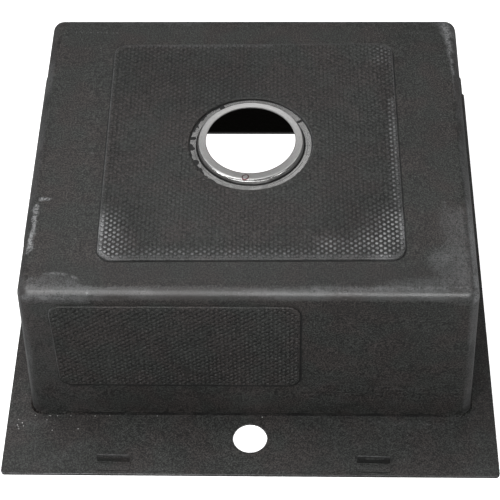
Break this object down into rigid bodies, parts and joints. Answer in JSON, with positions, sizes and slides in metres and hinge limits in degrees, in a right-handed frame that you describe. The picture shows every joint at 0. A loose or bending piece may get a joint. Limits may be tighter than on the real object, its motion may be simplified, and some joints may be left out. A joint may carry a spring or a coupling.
{
  "type": "kitchen sink",
  "caption": "Single-bowl drop-in steel kitchen sink with a thick flat deck, tap ledge, centred drain and sound-deadening pads, lying upside down on its deck.",
  "frame": {"origin": "centre of the footprint, on the finished face of the deck that the upside-down sink lies on", "axes": "+Z out of the underside (down in use), +Y from the tap ledge towards the front rim, +X along the rear edge; the pose is the pictured one, upside down on the deck"},
  "size_m": [0.5, 0.533, 0.2066],
  "materials": {
    "deck_coating": "matt sprayed sound-deadening coat over a thick steel plate",
    "bowl_coating": "matt sprayed sound-deadening coat over folded stainless sheet",
    "pad_rubber": "dimpled mat under the same sprayed coat",
    "bracket_steel": "sprayed over with the coat"
  },
  "bodies": {
    "root": {"deck_plate": "deck_coating", "bowl": "bowl_coating", "weld_bead": "bowl_coating", "floor_pad": "pad_rubber", "rear_pad": "pad_rubber", "front_pad": "pad_rubber", "left_pad": "pad_rubber", "right_pad": "pad_rubber", "clip_bracket_rear_left": "bracket_steel", "clip_bracket_rear_right": "bracket_steel", "clip_bracket_front_left": "bracket_steel", "clip_bracket_front_right": "bracket_steel", "clip_bracket_side_left": "bracket_steel", "clip_bracket_side_right": "bracket_steel"}
  },
  "joints": []
}
